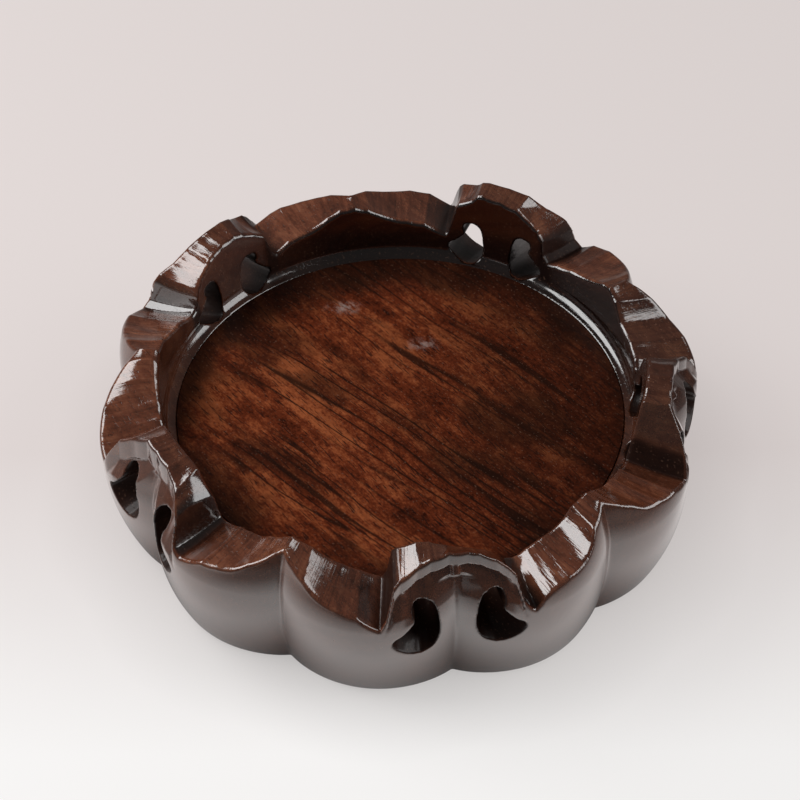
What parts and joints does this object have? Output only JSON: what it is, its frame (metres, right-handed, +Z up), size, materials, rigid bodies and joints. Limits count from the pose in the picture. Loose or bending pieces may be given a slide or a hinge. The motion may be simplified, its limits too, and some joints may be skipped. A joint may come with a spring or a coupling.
{
  "type": "carved hardwood display stand",
  "caption": "Round dark hardwood stand: a shallow dish with a grained floor inside a lobed, wavy-rimmed wall carved with pierced ruyi cloud heads.",
  "frame": {"origin": "on the table, under the middle of the dish", "axes": "+Z up, -Y towards the ruyi head that faces the viewer, +X to that viewer's right"},
  "size_m": [0.1358, 0.1318, 0.0415],
  "materials": {
    "wall_wood": "dark lacquered hardwood, semi-gloss",
    "floor_wood": "dark hardwood with open pores, satin",
    "brace_wood": "planed hardwood, oiled",
    "dowel_wood": "turned hardwood, raw"
  },
  "bodies": {
    "root": {"floor_board": "floor_wood", "floor_brace": "brace_wood", "wall_front": "wall_wood", "wall_right": "wall_wood", "wall_back_right": "wall_wood", "wall_back_left": "wall_wood", "wall_left": "wall_wood", "lower_dowel_front_right": "dowel_wood", "lower_dowel_right_back": "dowel_wood", "lower_dowel_back": "dowel_wood", "lower_dowel_left_back": "dowel_wood", "lower_dowel_left_front": "dowel_wood", "upper_dowel_front_right": "dowel_wood", "upper_dowel_right_back": "dowel_wood", "upper_dowel_back": "dowel_wood", "upper_dowel_left_back": "dowel_wood", "upper_dowel_left_front": "dowel_wood"}
  },
  "joints": []
}
